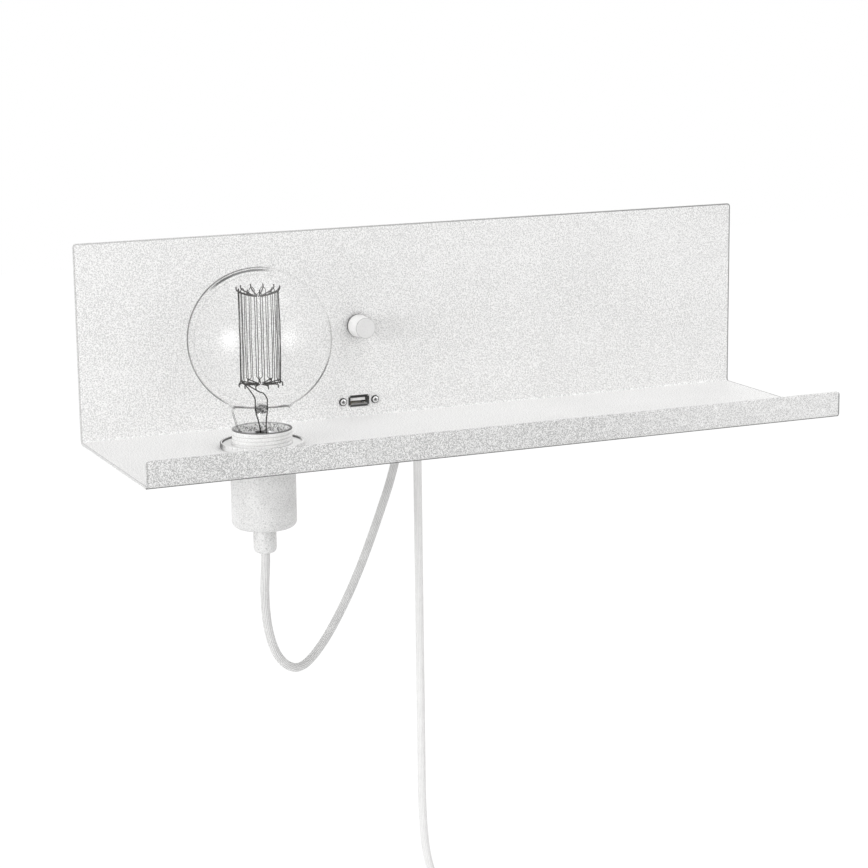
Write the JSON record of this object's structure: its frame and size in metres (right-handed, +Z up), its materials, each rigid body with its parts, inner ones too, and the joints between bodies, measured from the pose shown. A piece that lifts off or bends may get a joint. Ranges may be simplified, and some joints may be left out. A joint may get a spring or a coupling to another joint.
{
  "type": "wall lamp with shelf",
  "caption": "White folded-steel wall shelf with a clear globe bulb in a lampholder through the shelf, a dimmer knob, a USB socket, a looped lamp cord and a mains cord with plug.",
  "frame": {"origin": "on the wall plane, midway between the two wall screw holes of the bracket", "axes": "+X to the right along the wall, +Y into the wall, +Z up"},
  "size_m": [0.5, 0.1765, 0.669],
  "materials": {
    "powder_coat": "matt, fine sandy texture",
    "zinc": "zinc plated",
    "white_gloss": "smooth",
    "white_matte": "matt",
    "grey_plastic": "matt",
    "circuit_board": "lacquered",
    "bright_metal": "nickel plated",
    "gilt": "plated",
    "wire_sheath": "smooth",
    "cord_white": "braided",
    "holder_plastic": "fine matt",
    "ceramic_white": "unglazed",
    "brass_contact": "plain",
    "clear_glass": "clear",
    "black_glass": "glossy",
    "dark_wire": "drawn wire",
    "black_plastic": "smooth"
  },
  "bodies": {
    "lamp": {"shelf_panel": "powder_coat", "panel_studs": "zinc", "stud_nuts": "zinc", "rear_frame": "powder_coat", "wall_bracket": "zinc", "lock_screws": "zinc", "dimmer_nut": "zinc", "dimmer_washer": "zinc", "dimmer_body": "grey_plastic", "dimmer_board": "circuit_board", "dimmer_parts": "grey_plastic", "usb_shell": "bright_metal", "usb_tongue": "white_matte", "usb_contacts": "gilt", "usb_carrier": "grey_plastic", "usb_screws": "bright_metal", "usb_board": "circuit_board", "usb_supply_parts": "grey_plastic", "electronics_box": "grey_plastic", "electronics_lid": "grey_plastic", "lid_screws": "zinc", "terminal_block": "white_matte", "terminal_screws": "zinc", "cord_clamp": "white_matte", "clamp_screws": "zinc", "inner_wires": "wire_sheath", "lamp_gland": "white_matte", "mains_gland": "white_matte", "cord_tails": "cord_white", "holder_cup": "holder_plastic", "holder_collar": "holder_plastic", "shade_ring": "holder_plastic", "holder_core": "ceramic_white", "screw_shell": "brass_contact", "centre_contact": "brass_contact", "core_screws": "zinc", "holder_nipple": "zinc", "nipple_nut": "zinc", "cord_grip": "holder_plastic", "grip_screw": "white_matte", "holder_tail": "cord_white", "lamp_cord": "cord_white", "mains_cord": "cord_white", "mains_cord_coil": "cord_white", "cord_tie": "black_plastic", "plug_body": "white_gloss", "plug_pins": "bright_metal"},
    "knob": {"dimmer_knob": "white_gloss", "dimmer_shaft": "zinc"},
    "bulb_contact": {"cap_tip": "bright_metal"},
    "bulb": {"bulb_glass": "clear_glass", "bulb_cap": "bright_metal", "cap_insulator": "black_glass", "glass_stem": "clear_glass", "lead_wires": "dark_wire", "filament_hooks": "dark_wire", "filament": "dark_wire"}
  },
  "joints": [
    {"name": "knob_turn", "type": "hinge", "parent": "lamp", "child": "knob", "pos_m": [-0.0495, -0.0265, -0.029], "axis": [0, 1, 0], "range_deg": [0, 270]},
    {"name": "bulb_lift", "type": "slide", "parent": "lamp", "child": "bulb_contact", "axis": [0, 0, 1], "range_m": [0, 0.0163]},
    {"name": "bulb_turn", "type": "hinge", "parent": "bulb_contact", "child": "bulb", "pos_m": [-0.145, -0.092, 0], "axis": [0, 0, 1], "range_deg": [0, 1620]}
  ],
  "couplings": [
    {"joint": "bulb_lift", "follows": "bulb_turn", "m_per_rad": 0.00057614}
  ]
}
